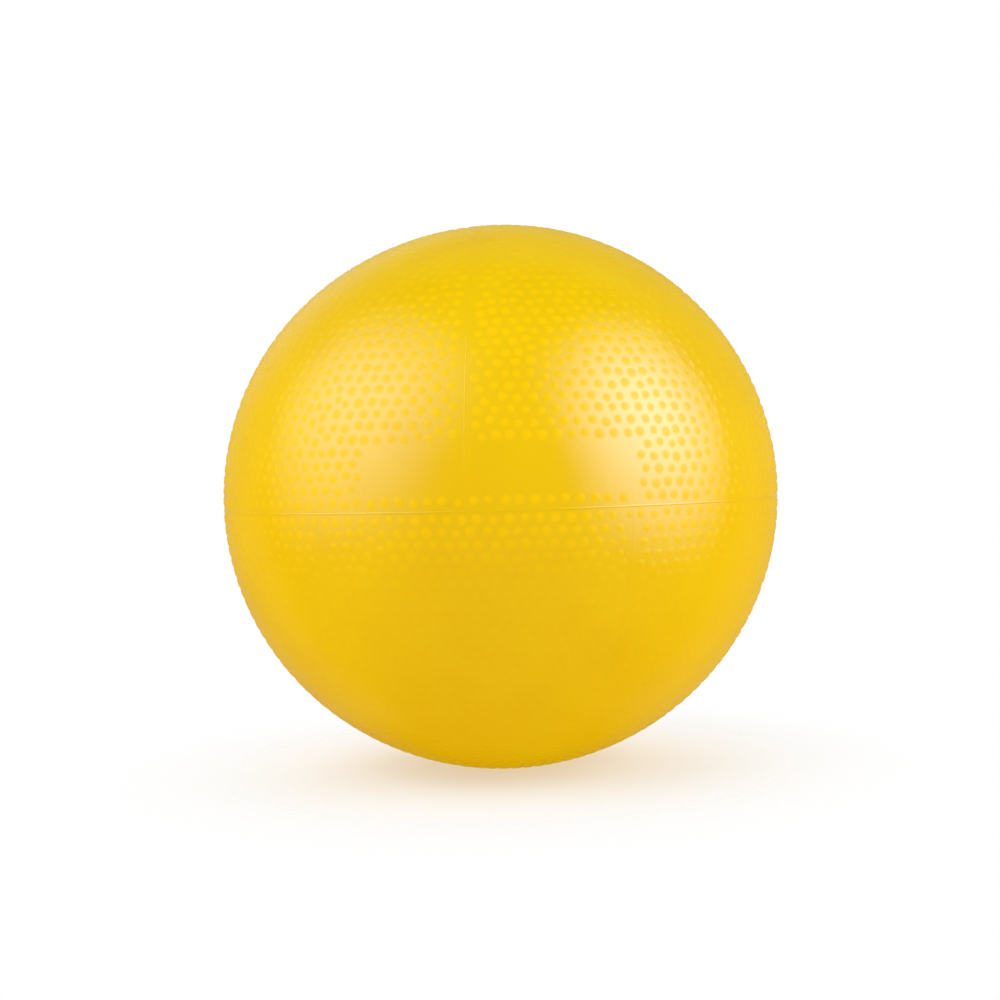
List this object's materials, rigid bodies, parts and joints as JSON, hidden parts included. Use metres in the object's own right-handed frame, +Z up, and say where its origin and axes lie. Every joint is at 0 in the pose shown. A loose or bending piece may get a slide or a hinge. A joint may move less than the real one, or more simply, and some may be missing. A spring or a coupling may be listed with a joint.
{
  "type": "pilates ball",
  "caption": "Small soft inflatable exercise ball, hollow and pimpled all over, with a plugged inflation valve on its back and a flat patch that it rests on.",
  "frame": {"origin": "middle of the flat patch under the ball, on the floor that it rests on", "axes": "+Z up through the ball's poles, square to its parting line; +Y towards the back, where the valve is; +X to the right as seen from the front"},
  "size_m": [0.2508, 0.2508, 0.2455],
  "materials": {
    "skin_pvc": "satin",
    "neck_pvc": "satin",
    "plug_polyethylene": "satin"
  },
  "bodies": {
    "ball": {"ball_skin": "skin_pvc", "valve_neck": "neck_pvc"},
    "plug": {"valve_plug": "plug_polyethylene"}
  },
  "joints": [
    {"name": "plug_pull", "type": "slide", "parent": "ball", "child": "plug", "axis": [0, 0.848, 0.5299], "range_m": [0, 0.02]}
  ]
}
